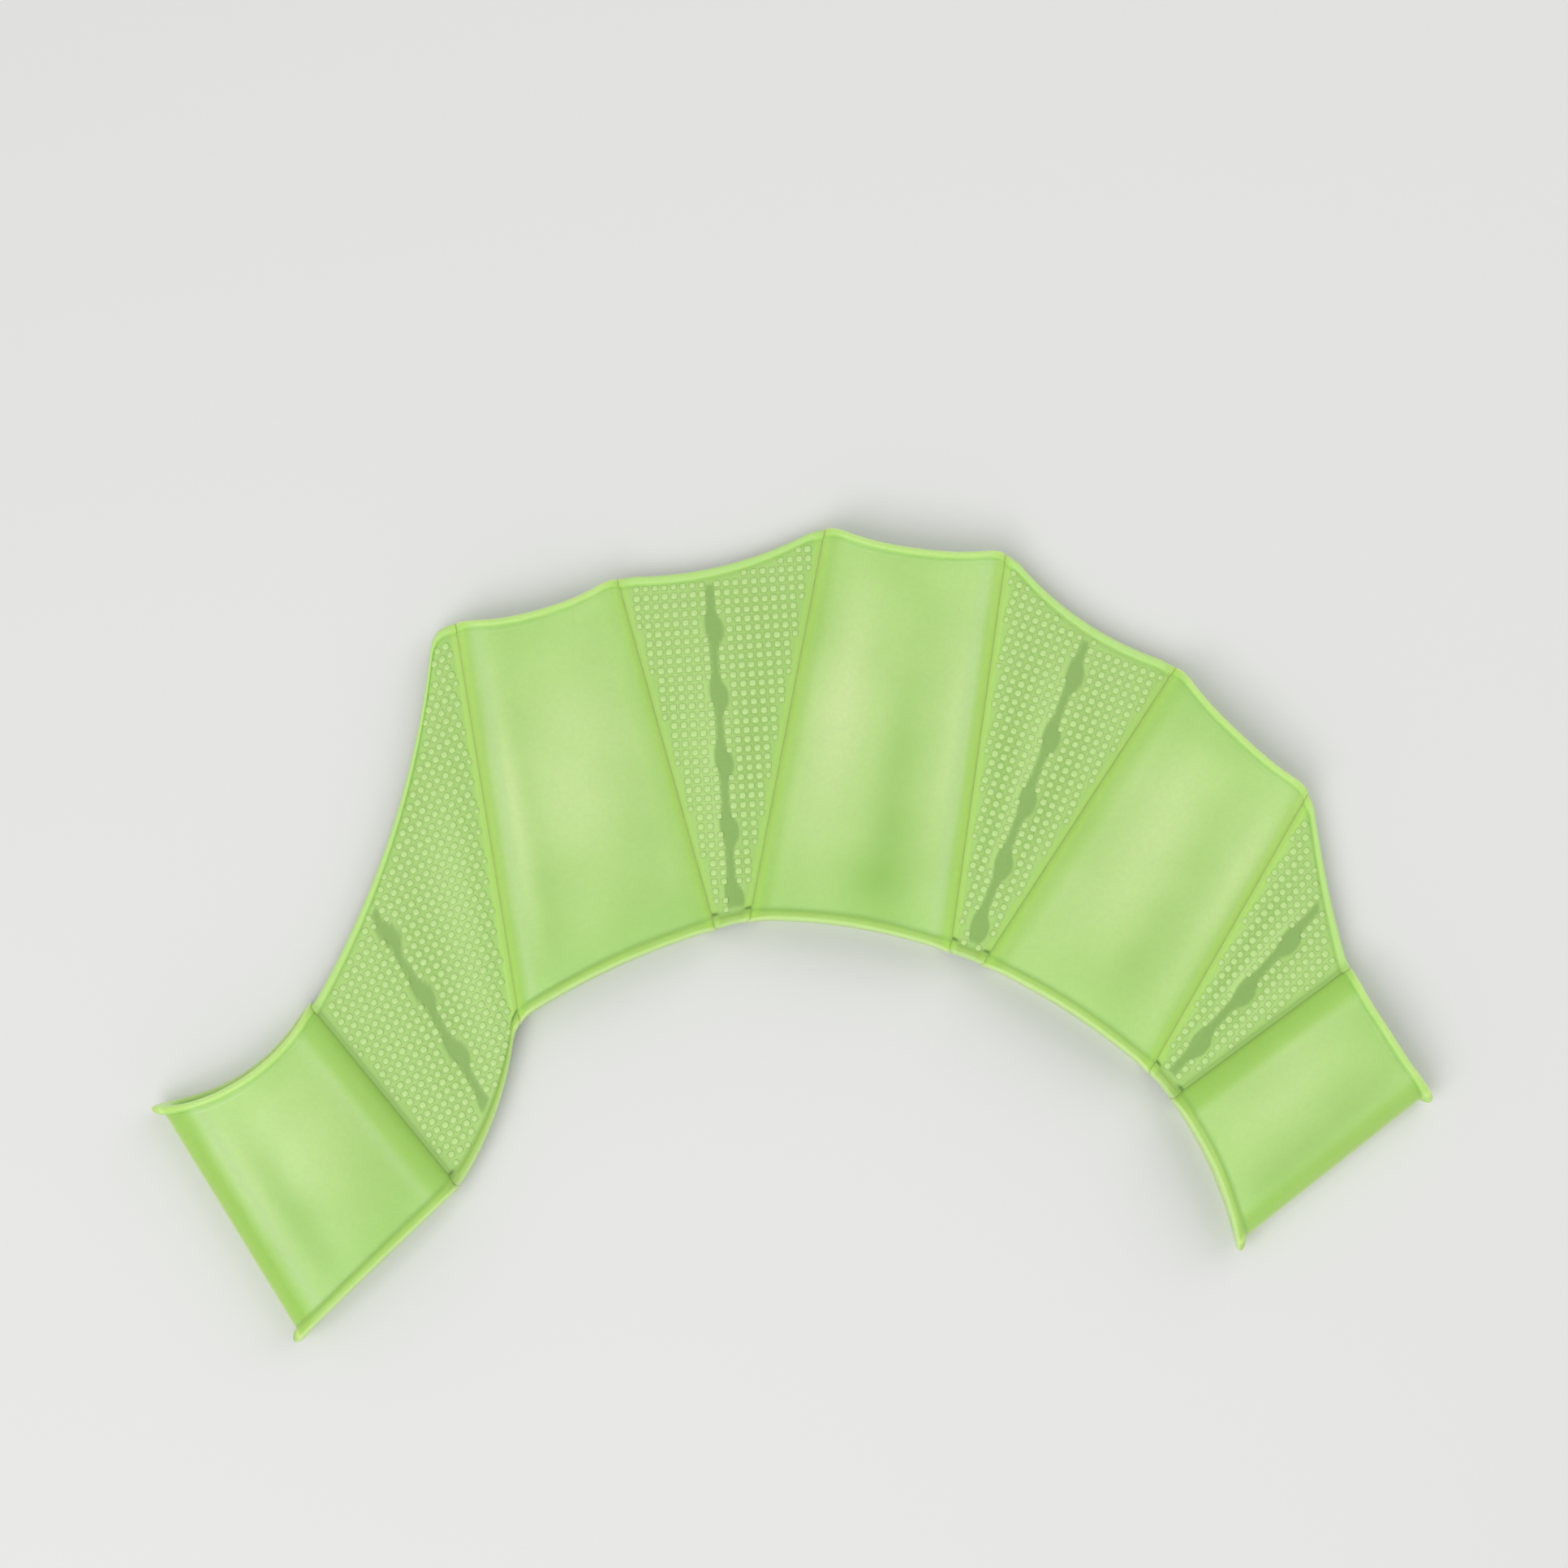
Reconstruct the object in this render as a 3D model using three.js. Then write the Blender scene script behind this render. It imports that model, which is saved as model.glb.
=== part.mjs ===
// Webbed swim glove: a fan of five open finger sleeves with thin webs between them,
// moulded in soft silicone and lying flat with its palm side down.
// X runs across the fingers from thumb to little finger, Y along them, Z up.
import * as THREE from 'three';

// Driving dimensions, in millimetres
const SLEEVE_LENGTH = 61;            // middle finger, from rim to rim
const SLEEVE_BASE_WIDTH = 30.8;      // middle finger laid flat, at the palm end
const SLEEVE_TIP_WIDTH = 28.3;       // the same at the fingertip end
const SLEEVE_HEIGHT = 9;             // over the swelling of the upper layer
const SLEEVE_CROWN = 1;              // how far that layer swells above its shoulders
const SLEEVE_WALL = 1.2;
const FINGER_WEB_BASE_WIDTH = 4.4;   // where a finger web starts between two sleeves
const THUMB_WEB_BASE_WIDTH = 25.2;   // the wide web between thumb and index finger
const THUMB_WEB_SHOULDER = 3.2;      // how far its rim runs on from the index finger's before it turns
const WEB_THICKNESS = 1;
const RIM_RADIUS = 1.1;              // the bead round every open edge
const KNOB_REACH = 1;                // how much further the bead stands out at a free corner
const CORNER_SOFTENING = 2.4;        // how far from a joint an edge starts to round
const JOINT_GAP = 0.3;               // parting between neighbouring pieces

// Steps of the faceted shapes
const SIDE_STEPS = 8;
const TOP_STEPS = 8;
const FLOOR_STEPS = 5;
const WALL_STEPS = 5;
const RIM_STEPS = 3;                 // round a quarter of the bead and a little more
const WEB_STEPS = 18;
const SOFTENING_STEPS = 4;
const PROBE_SHARE = 0.01;

// Lean is clockwise from the Y axis, a heading anticlockwise from the X axis, both in degrees.
// Length and widths are shares of the middle sleeve's. An arch, dip or bulge is a share of the
// width of its own edge, and a lip is a share of the sleeve's height.
const SLEEVES = [
  {
    name: 'thumb_sleeve', lean: -35.8, length: 0.61, baseWidth: 1.035, tipWidth: 0.95,
    baseHeading: 44, tipHeading: 35, baseArch: 0, tipDip: 0.13, lip: 0.16,
  },
  {
    name: 'index_sleeve', lean: -12.4, length: 0.95, baseWidth: 1.07, tipWidth: 0.91,
    baseHeading: 25, tipHeading: 16, baseArch: 0.035, tipDip: 0.09, lip: 0,
  },
  {
    name: 'middle_sleeve', lean: 9.6, length: 1, baseWidth: 1, tipWidth: 1,
    baseHeading: -9, tipHeading: -8, baseArch: 0.045, tipDip: 0.08, lip: 0,
  },
  {
    name: 'ring_sleeve', lean: 32, length: 0.84, baseWidth: 0.97, tipWidth: 0.99,
    baseHeading: -33, tipHeading: -44, baseArch: 0.035, tipDip: 0.06, lip: 0,
  },
  {
    name: 'little_sleeve', lean: 53, length: 0.57, baseWidth: 0.76, tipWidth: 0.775,
    baseHeading: -66, tipHeading: -58, baseArch: 0.05, tipDip: 0.03, lip: 0,
  },
];

// Each web fills the space after the sleeve of the same row.
const WEBS = [
  {
    name: 'web_thumb_index', baseWidth: THUMB_WEB_BASE_WIDTH, shoulder: THUMB_WEB_SHOULDER,
    baseHeading: 72, baseArch: -0.06, tipDip: 0.055,
  },
  {
    name: 'web_index_middle', baseWidth: FINGER_WEB_BASE_WIDTH, shoulder: 0,
    baseHeading: 16, baseArch: 0, tipDip: 0.07,
  },
  {
    name: 'web_middle_ring', baseWidth: FINGER_WEB_BASE_WIDTH, shoulder: 0,
    baseHeading: -21, baseArch: 0, tipDip: 0.08,
  },
  {
    name: 'web_ring_little', baseWidth: FINGER_WEB_BASE_WIDTH, shoulder: 0,
    baseHeading: -51, baseArch: 0, tipDip: 0.02,
  },
];

// Sizes that follow from the driving dimensions
const SIDE_RADIUS = (SLEEVE_HEIGHT - SLEEVE_CROWN - SLEEVE_WALL) / 2;
const FLOOR_LEVEL = SLEEVE_WALL / 2;
const WEB_LEVEL = FLOOR_LEVEL + SIDE_RADIUS;

const radians = THREE.MathUtils.degToRad;
const lerp = THREE.MathUtils.lerp;

function headingVector(degrees) {
  return new THREE.Vector2(Math.cos(radians(degrees)), Math.sin(radians(degrees)));
}

function leanVector(degrees) {
  return new THREE.Vector2(Math.sin(radians(degrees)), Math.cos(radians(degrees)));
}

// The pieces from thumb to little finger, each with the ends of its palm edge laid in a chain.
function layOutPanels() {
  const panels = [];
  let corner = new THREE.Vector2(0, 0);
  SLEEVES.forEach((row, index) => {
    const neighbours = [{ ...row, kind: 'sleeve', baseWidth: row.baseWidth * SLEEVE_BASE_WIDTH }];
    if (index < WEBS.length) {
      neighbours.push({ ...WEBS[index], kind: 'web' });
    }
    for (const piece of neighbours) {
      const start = corner;
      corner = start.clone().addScaledVector(headingVector(piece.baseHeading), piece.baseWidth);
      panels.push({ ...piece, base: { corners: [start, corner], path: [start, corner] } });
    }
  });
  return panels;
}

// A sleeve's fingertip edge lies its length away along its lean, and a web's joins two of these.
function addTipEdges(panels) {
  for (const panel of panels.filter((each) => each.kind === 'sleeve')) {
    const middle = panel.base.corners[0].clone().lerp(panel.base.corners[1], 0.5);
    middle.addScaledVector(leanVector(panel.lean), panel.length * SLEEVE_LENGTH);
    const half = headingVector(panel.tipHeading).multiplyScalar(panel.tipWidth * SLEEVE_TIP_WIDTH / 2);
    const corners = [middle.clone().sub(half), middle.clone().add(half)];
    panel.tip = { corners, path: corners };
  }
  panels.forEach((panel, index) => {
    if (panel.kind === 'web') {
      const next = panels[index + 1];
      const corners = [panels[index - 1].tip.corners[1], next.tip.corners[0]];
      const turn = corners[1].clone().addScaledVector(headingVector(next.tipHeading), -panel.shoulder);
      panel.tip = { corners, path: panel.shoulder > 0 ? [corners[0], turn, corners[1]] : corners };
    }
  });
}

// One long edge from thumb to little finger: its panels' paths end to end. The first stretch of a
// panel's path is bowed, by a share of its own length.
function makeEdge(panels, side, bowOf) {
  const spans = [];
  const stretches = [];
  let reach = 0;
  for (const panel of panels) {
    const path = panel[side].path;
    const panelStart = reach;
    for (let index = 1; index < path.length; index += 1) {
      const [start, end] = [path[index - 1], path[index]];
      const length = start.distanceTo(end);
      const outward = new THREE.Vector2(start.y - end.y, end.x - start.x).divideScalar(length);
      const bow = index === 1 ? bowOf(panel) * length : 0;
      spans.push({ start, end, length, outward, from: reach, bow });
      reach += length;
    }
    stretches.push({ from: panelStart, length: reach - panelStart });
  }
  return { spans, stretches, reach };
}

function rawEdgePoint(edge, distance) {
  const span = edge.spans.findLast((each) => each.from <= distance) ?? edge.spans[0];
  const share = (distance - span.from) / span.length;
  const point = span.start.clone().lerp(span.end, share);
  return point.addScaledVector(span.outward, 4 * share * (1 - share) * span.bow);
}

// Averaging over a short stretch rounds the corners where panels meet.
function edgePoint(edge, panelIndex, share) {
  const { from, length } = edge.stretches[panelIndex];
  const distance = from + share * length;
  const stretch = Math.min(CORNER_SOFTENING, distance, edge.reach - distance);
  const point = new THREE.Vector2(0, 0);
  for (let step = 0; step <= SOFTENING_STEPS; step += 1) {
    const offset = stretch * (2 * step / SOFTENING_STEPS - 1);
    point.add(rawEdgePoint(edge, distance + offset));
  }
  return point.divideScalar(SOFTENING_STEPS + 1);
}

// Width of a panel square to a direction, at a share of the way from palm to fingertips.
function widthAcross(panel, direction, lengthShare) {
  const [base, tip] = [panel.base, panel.tip].map(({ corners }) => corners[1].clone().sub(corners[0]));
  return Math.abs(base.lerp(tip, lengthShare).cross(direction));
}

// The lengthwise section of a wall with a bead on both ends, as a closed loop that goes out along
// the upper side and comes back along the lower. Inset and offset are measured from the wall's end
// and from the middle of its thickness.
function rimmedProfile(thickness) {
  const neck = Math.asin(thickness / 2 / RIM_RADIUS);
  const bead = [];
  for (let step = 0; step <= RIM_STEPS; step += 1) {
    const angle = lerp(Math.PI, neck, step / RIM_STEPS);
    bead.push({ inset: RIM_RADIUS * (1 + Math.cos(angle)), offset: RIM_RADIUS * Math.sin(angle) });
  }
  const upper = bead.map((point) => ({ ...point, share: 0 }));
  for (let step = 1; step < WALL_STEPS; step += 1) {
    upper.push({ share: step / WALL_STEPS, inset: 0, offset: thickness / 2 });
  }
  upper.push(...bead.toReversed().map(({ inset, offset }) => ({ share: 1, inset: -inset, offset })));
  const lower = upper.slice(1, -1).reverse().map((point) => ({ ...point, offset: -point.offset }));
  return [...upper, ...lower];
}

// The cross-section of a sleeve: the middle of its wall, laid flat, with the way it faces.
function sleeveSection(halfWidth) {
  const straight = halfWidth - SIDE_RADIUS;
  const points = [];
  const addSide = (turn) => {
    for (let step = 0; step <= SIDE_STEPS; step += 1) {
      const angle = turn + Math.PI * (step / SIDE_STEPS - 0.5);
      const faceX = Math.cos(angle);
      const faceZ = Math.sin(angle);
      const centre = turn === 0 ? straight : -straight;
      points.push({ x: centre + SIDE_RADIUS * faceX, z: WEB_LEVEL + SIDE_RADIUS * faceZ, faceX, faceZ });
    }
  };
  addSide(0);
  for (let step = 1; step < TOP_STEPS; step += 1) {
    const x = straight * (1 - 2 * step / TOP_STEPS);
    const phase = Math.PI * x / straight;
    const slope = -SLEEVE_CROWN * Math.PI / straight * Math.sin(phase) / 2;
    const size = Math.hypot(slope, 1);
    const z = WEB_LEVEL + SIDE_RADIUS + SLEEVE_CROWN * (1 + Math.cos(phase)) / 2;
    points.push({ x, z, faceX: -slope / size, faceZ: 1 / size });
  }
  addSide(Math.PI);
  for (let step = 1; step < FLOOR_STEPS; step += 1) {
    points.push({ x: straight * (2 * step / FLOOR_STEPS - 1), z: FLOOR_LEVEL, faceX: 0, faceZ: -1 });
  }
  return points;
}

// How far a bead point stands off the wall's middle: flush where a web joins, out at a free corner.
function rimOffset(offset, faceX, panelIndex, panelCount) {
  const sideways = faceX ** 2;
  const isFree = (faceX < 0 && panelIndex === 0) || (faceX > 0 && panelIndex === panelCount - 1);
  if (offset <= SLEEVE_WALL / 2) {
    return offset;
  }
  if (isFree) {
    return offset * (1 + KNOB_REACH / RIM_RADIUS * sideways ** 2);
  }
  return Math.min(offset, lerp(RIM_RADIUS, SLEEVE_WALL / 2, sideways));
}

// A closed mesh over columns of points, each a closed loop. The columns form a ring, or else the
// first and the last are capped, each across its loop.
function gridGeometry(columns, isRing) {
  const rowCount = columns[0].length;
  const positions = columns.flat().flatMap((point) => [point.x, point.y, point.z]);
  const triangles = [];
  const addQuad = (a, b, c, d) => {
    for (const corners of [[a, b, c], [a, c, d]]) {
      if (new Set(corners).size === corners.length) {
        triangles.push(...corners);
      }
    }
  };
  const lastColumn = isRing ? columns.length : columns.length - 1;
  for (let column = 0; column < lastColumn; column += 1) {
    const here = column * rowCount;
    const next = ((column + 1) % columns.length) * rowCount;
    for (let row = 0; row < rowCount; row += 1) {
      const above = (row + 1) % rowCount;
      addQuad(here + row, here + above, next + above, next + row);
    }
  }
  if (!isRing) {
    const end = (columns.length - 1) * rowCount;
    for (let row = 0; row < rowCount / 2; row += 1) {
      const opposite = (rowCount - row) % rowCount;
      const beyond = rowCount - row - 1;
      addQuad(row, opposite, beyond, row + 1);
      addQuad(end + row, end + row + 1, end + beyond, end + opposite);
    }
  }
  const geometry = new THREE.BufferGeometry();
  geometry.setAttribute('position', new THREE.Float32BufferAttribute(positions, 3));
  geometry.setIndex(triangles);
  geometry.computeVertexNormals();
  return geometry;
}

// A point in plan at a share across a panel and a place along it.
function planPoint(edges, panelIndex, across, profilePoint, lip) {
  const base = edgePoint(edges.base, panelIndex, across);
  const tip = edgePoint(edges.tip, panelIndex, across);
  const length = base.distanceTo(tip);
  const along = profilePoint.share * (length + lip) + profilePoint.inset;
  return base.lerp(tip, along / length);
}

function sleeveGeometry(panels, edges, panelIndex) {
  const panel = panels[panelIndex];
  const direction = leanVector(panel.lean);
  const profile = rimmedProfile(SLEEVE_WALL);
  const sectionSize = sleeveSection(SLEEVE_BASE_WIDTH).length;
  const columns = [];
  for (let column = 0; column < sectionSize; column += 1) {
    columns.push(profile.map((profilePoint) => {
      const width = widthAcross(panel, direction, profilePoint.share);
      const section = sleeveSection((width - SLEEVE_WALL) / 2)[column];
      const offset = rimOffset(profilePoint.offset, section.faceX, panelIndex, panels.length);
      const across = 0.5 + (section.x + section.faceX * offset) / width;
      const lip = panel.lip * SLEEVE_HEIGHT * (1 - section.faceZ) / 2;
      const plan = planPoint(edges, panelIndex, across, profilePoint, lip);
      return { x: plan.x, y: plan.y, z: Math.max(0, section.z + section.faceZ * offset) };
    }));
  }
  return gridGeometry(columns, true);
}

// The share of a web's width that the parting takes beside one of its sleeves.
function partingShare(panel, edges, panelIndex, side, profilePoint) {
  const along = panel.tip.corners[side].clone().sub(panel.base.corners[side]).normalize();
  const atSleeve = planPoint(edges, panelIndex, side, profilePoint, 0);
  const probeShare = Math.abs(side - PROBE_SHARE);
  const probe = planPoint(edges, panelIndex, probeShare, profilePoint, 0);
  return PROBE_SHARE * JOINT_GAP / Math.abs(probe.sub(atSleeve).cross(along));
}

function webGeometry(panels, edges, panelIndex) {
  const panel = panels[panelIndex];
  const columns = [];
  const profile = rimmedProfile(WEB_THICKNESS).map((profilePoint) => {
    const [left, right] = [0, 1].map((side) => partingShare(panel, edges, panelIndex, side, profilePoint));
    return { ...profilePoint, left, right };
  });
  for (let step = 0; step <= WEB_STEPS; step += 1) {
    const station = (1 + Math.cos(Math.PI * step / WEB_STEPS)) / 2;
    columns.push(profile.map((profilePoint) => {
      const across = lerp(profilePoint.left, 1 - profilePoint.right, station);
      const plan = planPoint(edges, panelIndex, across, profilePoint, 0);
      return { x: plan.x, y: plan.y, z: WEB_LEVEL + profilePoint.offset };
    }));
  }
  return gridGeometry(columns, false);
}

function siliconeMaterial(name, colour) {
  const material = new THREE.MeshStandardMaterial({ color: colour, roughness: 0.45, metalness: 0 });
  material.name = name;
  return material;
}

function buildGlove() {
  const panels = layOutPanels();
  addTipEdges(panels);
  const edges = {
    base: makeEdge(panels, 'base', (panel) => panel.baseArch),
    tip: makeEdge(panels, 'tip', (panel) => -panel.tipDip),
  };
  const glove = new THREE.Group();
  panels.forEach((panel, index) => {
    const isSleeve = panel.kind === 'sleeve';
    const geometry = isSleeve ? sleeveGeometry(panels, edges, index) : webGeometry(panels, edges, index);
    const material = isSleeve
      ? siliconeMaterial('sleeve_silicone', 0xb9dc85)
      : siliconeMaterial('web_silicone', 0xa9d27a);
    const mesh = new THREE.Mesh(geometry, material);
    mesh.name = panel.name;
    glove.add(mesh);
  });
  const box = new THREE.Box3().setFromObject(glove);
  const middle = box.getCenter(new THREE.Vector3());
  glove.position.set(-middle.x, -middle.y, -box.min.z);
  return glove;
}

export default buildGlove();
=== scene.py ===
# %% [markdown]
# # A webbed swim glove in lime silicone
# The real glove is one soft moulding: five short finger sleeves laid flat, with thin webs between
# them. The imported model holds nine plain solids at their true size. This lesson gives each of them
# its fine shape, a field of moulded dots on the webs, and a milky, translucent finish.

import bpy
import numpy as np
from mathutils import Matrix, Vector


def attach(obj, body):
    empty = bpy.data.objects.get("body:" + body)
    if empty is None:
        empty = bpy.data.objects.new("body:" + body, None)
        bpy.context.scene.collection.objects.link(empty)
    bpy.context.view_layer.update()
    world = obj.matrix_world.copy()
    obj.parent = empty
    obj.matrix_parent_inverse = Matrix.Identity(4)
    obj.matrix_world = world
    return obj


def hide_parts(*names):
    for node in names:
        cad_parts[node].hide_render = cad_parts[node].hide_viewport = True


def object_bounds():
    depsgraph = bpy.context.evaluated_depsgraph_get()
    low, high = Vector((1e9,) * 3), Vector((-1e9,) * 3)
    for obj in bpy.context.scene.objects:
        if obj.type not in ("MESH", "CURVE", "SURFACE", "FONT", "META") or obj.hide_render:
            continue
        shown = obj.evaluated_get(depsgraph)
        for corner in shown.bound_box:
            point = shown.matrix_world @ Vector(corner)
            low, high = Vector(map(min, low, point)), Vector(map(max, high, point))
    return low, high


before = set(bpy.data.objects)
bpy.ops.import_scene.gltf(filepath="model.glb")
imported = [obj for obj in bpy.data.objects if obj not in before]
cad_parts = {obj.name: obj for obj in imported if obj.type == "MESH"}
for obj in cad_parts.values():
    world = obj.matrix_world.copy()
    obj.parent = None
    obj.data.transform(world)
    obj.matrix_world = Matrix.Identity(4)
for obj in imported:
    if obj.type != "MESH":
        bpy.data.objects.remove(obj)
cad_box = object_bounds()
print("CAD nodes:", ", ".join(sorted(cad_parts)))

# %% [markdown]
# ## Camera
# The glove was photographed from almost straight above, with a fairly long lens. The camera stands
# at that angle and looks at a point a little behind the middle of the palm edge, so that the glove
# lies low in the frame, as in the picture.

# %% Camera at the photograph's angle
CAMERA_ELEVATION = np.radians(83)
CAMERA_DISTANCE = 0.552
CAMERA_TARGET = Vector((-0.0012, 0.0220, 0.0040))
CAMERA_LENS = 85
CAMERA_SENSOR = 36


def add_object(name, data):
    new_object = bpy.data.objects.new(name, data)
    bpy.context.scene.collection.objects.link(new_object)
    return new_object


def add_camera():
    data = bpy.data.cameras.new("camera")
    data.lens = CAMERA_LENS
    data.sensor_width = CAMERA_SENSOR
    camera = add_object("camera", data)
    towards_camera = Vector((0, -np.cos(CAMERA_ELEVATION), np.sin(CAMERA_ELEVATION)))
    camera.location = CAMERA_TARGET + CAMERA_DISTANCE * towards_camera
    camera.rotation_euler = (np.pi / 2 - CAMERA_ELEVATION, 0, 0)
    bpy.context.scene.camera = camera
    return camera


camera = add_camera()
print("camera height:", round(camera.location.z, 4), "m")

# %% [markdown]
# ## Sizes of the moulding
# The solids were made from a few sizes and two short tables, and the fine shape follows the same
# ones, so each piece fills the place of its solid. A mesh could also be copied from the solid and
# subdivided, but its rims would stay coarse. Working the shape out again costs little and lets
# every rim, groove and dot follow its own rule.

# %% Driving sizes, in metres
MM = 0.001
SLEEVE_LENGTH = 61 * MM
SLEEVE_BASE_WIDTH = 30.8 * MM
SLEEVE_TIP_WIDTH = 28.3 * MM
SLEEVE_HEIGHT = 9 * MM
SLEEVE_CROWN = 1 * MM
SLEEVE_WALL = 1.2 * MM
FINGER_WEB_BASE_WIDTH = 4.4 * MM
THUMB_WEB_BASE_WIDTH = 25.2 * MM
THUMB_WEB_SHOULDER = 3.2 * MM
WEB_THICKNESS = 1 * MM
RIM_RADIUS = 1.1 * MM
KNOB_REACH = 1 * MM
CORNER_SOFTENING = 2.4 * MM
WEB_PARTING = -0.06 * MM
SIDE_RADIUS = (SLEEVE_HEIGHT - SLEEVE_CROWN - SLEEVE_WALL) / 2
FLOOR_LEVEL = SLEEVE_WALL / 2
WEB_LEVEL = FLOOR_LEVEL + SIDE_RADIUS

# %% [markdown]
# Lean is clockwise from the Y axis, a heading anticlockwise from the X axis, both in degrees. A
# sleeve's length and widths are shares of the middle finger's. An arch or dip is a share of its own
# edge, and a lip is a share of the sleeve's height. The last five columns are pairs, for the left
# and the right side. Bands say how far, in millimetres, a deep green reaches over the front, and
# deeps how strong it is. The other three say how clear three painted highlights are: a pale strip
# beside the band, a bright line near the side, and a hair-fine glow on the side itself.

# %% Table of the sleeves
SLEEVES = [
    dict(name="thumb_sleeve", lean=-35.8, length=0.61, base_width=1.035, tip_width=0.95,
         base_heading=44, tip_heading=35, base_arch=0, tip_dip=0.13, lip=0.16,
         bands=(3.3, 3.4), deeps=(1.0, 0.9), highlight_strips=(1.0, 0.5),
         light_lines=(0.15, 0.1), painted_glows=(0.6, 0.0)),
    dict(name="index_sleeve", lean=-12.4, length=0.95, base_width=1.07, tip_width=0.91,
         base_heading=25, tip_heading=16, base_arch=0.035, tip_dip=0.09, lip=0,
         bands=(1.9, 3.4), deeps=(0.6, 0.3), highlight_strips=(1.0, 0.0),
         light_lines=(1.0, 0.8), painted_glows=(1.0, 0.9)),
    dict(name="middle_sleeve", lean=9.6, length=1, base_width=1, tip_width=1,
         base_heading=-9, tip_heading=-8, base_arch=0.045, tip_dip=0.08, lip=0,
         bands=(2.9, 1.7), deeps=(0.35, 0.5), highlight_strips=(0.0, 1.0),
         light_lines=(0.9, 1.0), painted_glows=(0.9, 1.0)),
    dict(name="ring_sleeve", lean=32, length=0.84, base_width=0.97, tip_width=0.99,
         base_heading=-33, tip_heading=-44, base_arch=0.035, tip_dip=0.06, lip=0,
         bands=(3.4, 1.7), deeps=(0.35, 0.4), highlight_strips=(0.0, 0.0),
         light_lines=(0.9, 0.9), painted_glows=(0.5, 1.0)),
    dict(name="little_sleeve", lean=53, length=0.57, base_width=0.76, tip_width=0.775,
         base_heading=-66, tip_heading=-58, base_arch=0.05, tip_dip=0.03, lip=0,
         bands=(3.6, 2.6), deeps=(0.9, 0.8), highlight_strips=(0.0, 0.0),
         light_lines=(0.2, 0.15), painted_glows=(0.0, 0.6)),
]

# %% [markdown]
# A web's lane is the smooth strip that winds between its dots. Its ends are shares of the fingertip
# and palm edges, and its first lozenge is so many millimetres from the fingertips. The shoulder is
# a short stretch in line with the next sleeve's edge. Crease shades say how dark the painted shade
# at the joint with the sleeve is, on the left and on the right; the rest is a painted light line.

# %% Table of the webs
FINGER_WEB = dict(base_width=FINGER_WEB_BASE_WIDTH, shoulder=0, base_arch=0)
WEBS = [
    dict(name="web_thumb_index", base_width=THUMB_WEB_BASE_WIDTH, shoulder=THUMB_WEB_SHOULDER,
         base_heading=72, base_arch=-0.06, tip_dip=0.055, lane_tip=0.28, lane_base=0.44,
         first_lozenge=6.3, crease_shades=(0.9, 0.0)),
    dict(FINGER_WEB, name="web_index_middle", base_heading=16, tip_dip=0.07,
         lane_tip=0.42, lane_base=0.60, first_lozenge=8.9, crease_shades=(0.15, 0.2)),
    dict(FINGER_WEB, name="web_middle_ring", base_heading=-21, tip_dip=0.08,
         lane_tip=0.55, lane_base=0.5, first_lozenge=7.8, crease_shades=(0.0, 0.25)),
    dict(FINGER_WEB, name="web_ring_little", base_heading=-51, tip_dip=0.02,
         lane_tip=0.58, lane_base=0.5, first_lozenge=9.1, crease_shades=(0.0, 0.9)),
]

# %% [markdown]
# ## Laying the pieces out
# The palm edge is a chain: each piece starts where its neighbour ends. A sleeve's fingertip edge
# lies its length away, and a web's joins the two beside it.


# %% Lay the pieces out
def heading(degrees):
    return np.array([np.cos(np.radians(degrees)), np.sin(np.radians(degrees))])


def lean(degrees):
    return np.array([np.sin(np.radians(degrees)), np.cos(np.radians(degrees))])


def lay_out_palm_edge():
    rows = []
    corner = np.zeros(2)
    for index, sleeve in enumerate(SLEEVES):
        base_width = sleeve["base_width"] * SLEEVE_BASE_WIDTH
        neighbours = [dict(sleeve, kind="sleeve", base_width=base_width)]
        neighbours += [dict(web, kind="web") for web in WEBS[index:index + 1]]
        for row in neighbours:
            start = corner
            corner = start + row["base_width"] * heading(row["base_heading"])
            rows.append(dict(row, base=[start, corner]))
    return rows


def add_tip_edges(rows):
    for row in rows[::2]:
        middle = sum(row["base"]) / 2 + row["length"] * SLEEVE_LENGTH * lean(row["lean"])
        half = row["tip_width"] * SLEEVE_TIP_WIDTH / 2 * heading(row["tip_heading"])
        row["tip"] = [middle - half, middle + half]
    for index in range(1, len(rows), 2):
        web, after = rows[index], rows[index + 1]
        start, end = rows[index - 1]["tip"][-1], after["tip"][0]
        turn = [end - web["shoulder"] * heading(after["tip_heading"])] if web["shoulder"] else []
        web["tip"] = [start, *turn, end]


panels = lay_out_palm_edge()
add_tip_edges(panels)
print("laid out:", ", ".join(panel["name"] for panel in panels))

# %% [markdown]
# ## The two long edges
# Seen from above, the glove's outline is two long edges from thumb to little finger. Each stretch
# bows in or out a little, and the corners between pieces are soft. A spline through a few points
# could do it, but averaging a bowed polyline over a short stretch rounds every corner by the same
# amount and leaves the rest alone.


# %% Edges from thumb to little finger
SOFTENING_STEPS = 4


def make_edge(side, bow_name, bow_sign):
    spans = []
    stretches = []
    reach = 0.0
    for panel in panels:
        path = panel[side]
        stretch_start = reach
        for index in range(1, len(path)):
            length = np.linalg.norm(path[index] - path[index - 1])
            bow = bow_sign * panel[bow_name] * length if index == 1 else 0
            spans.append((path[index - 1], path[index], length, reach, bow))
            reach += length
        stretches.append((stretch_start, reach - stretch_start))
    starts, ends, lengths, froms, bows = (np.array(column) for column in zip(*spans))
    return dict(start=starts, end=ends, length=lengths, begins=froms, bow=bows,
                stretches=stretches, reach=reach)


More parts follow.
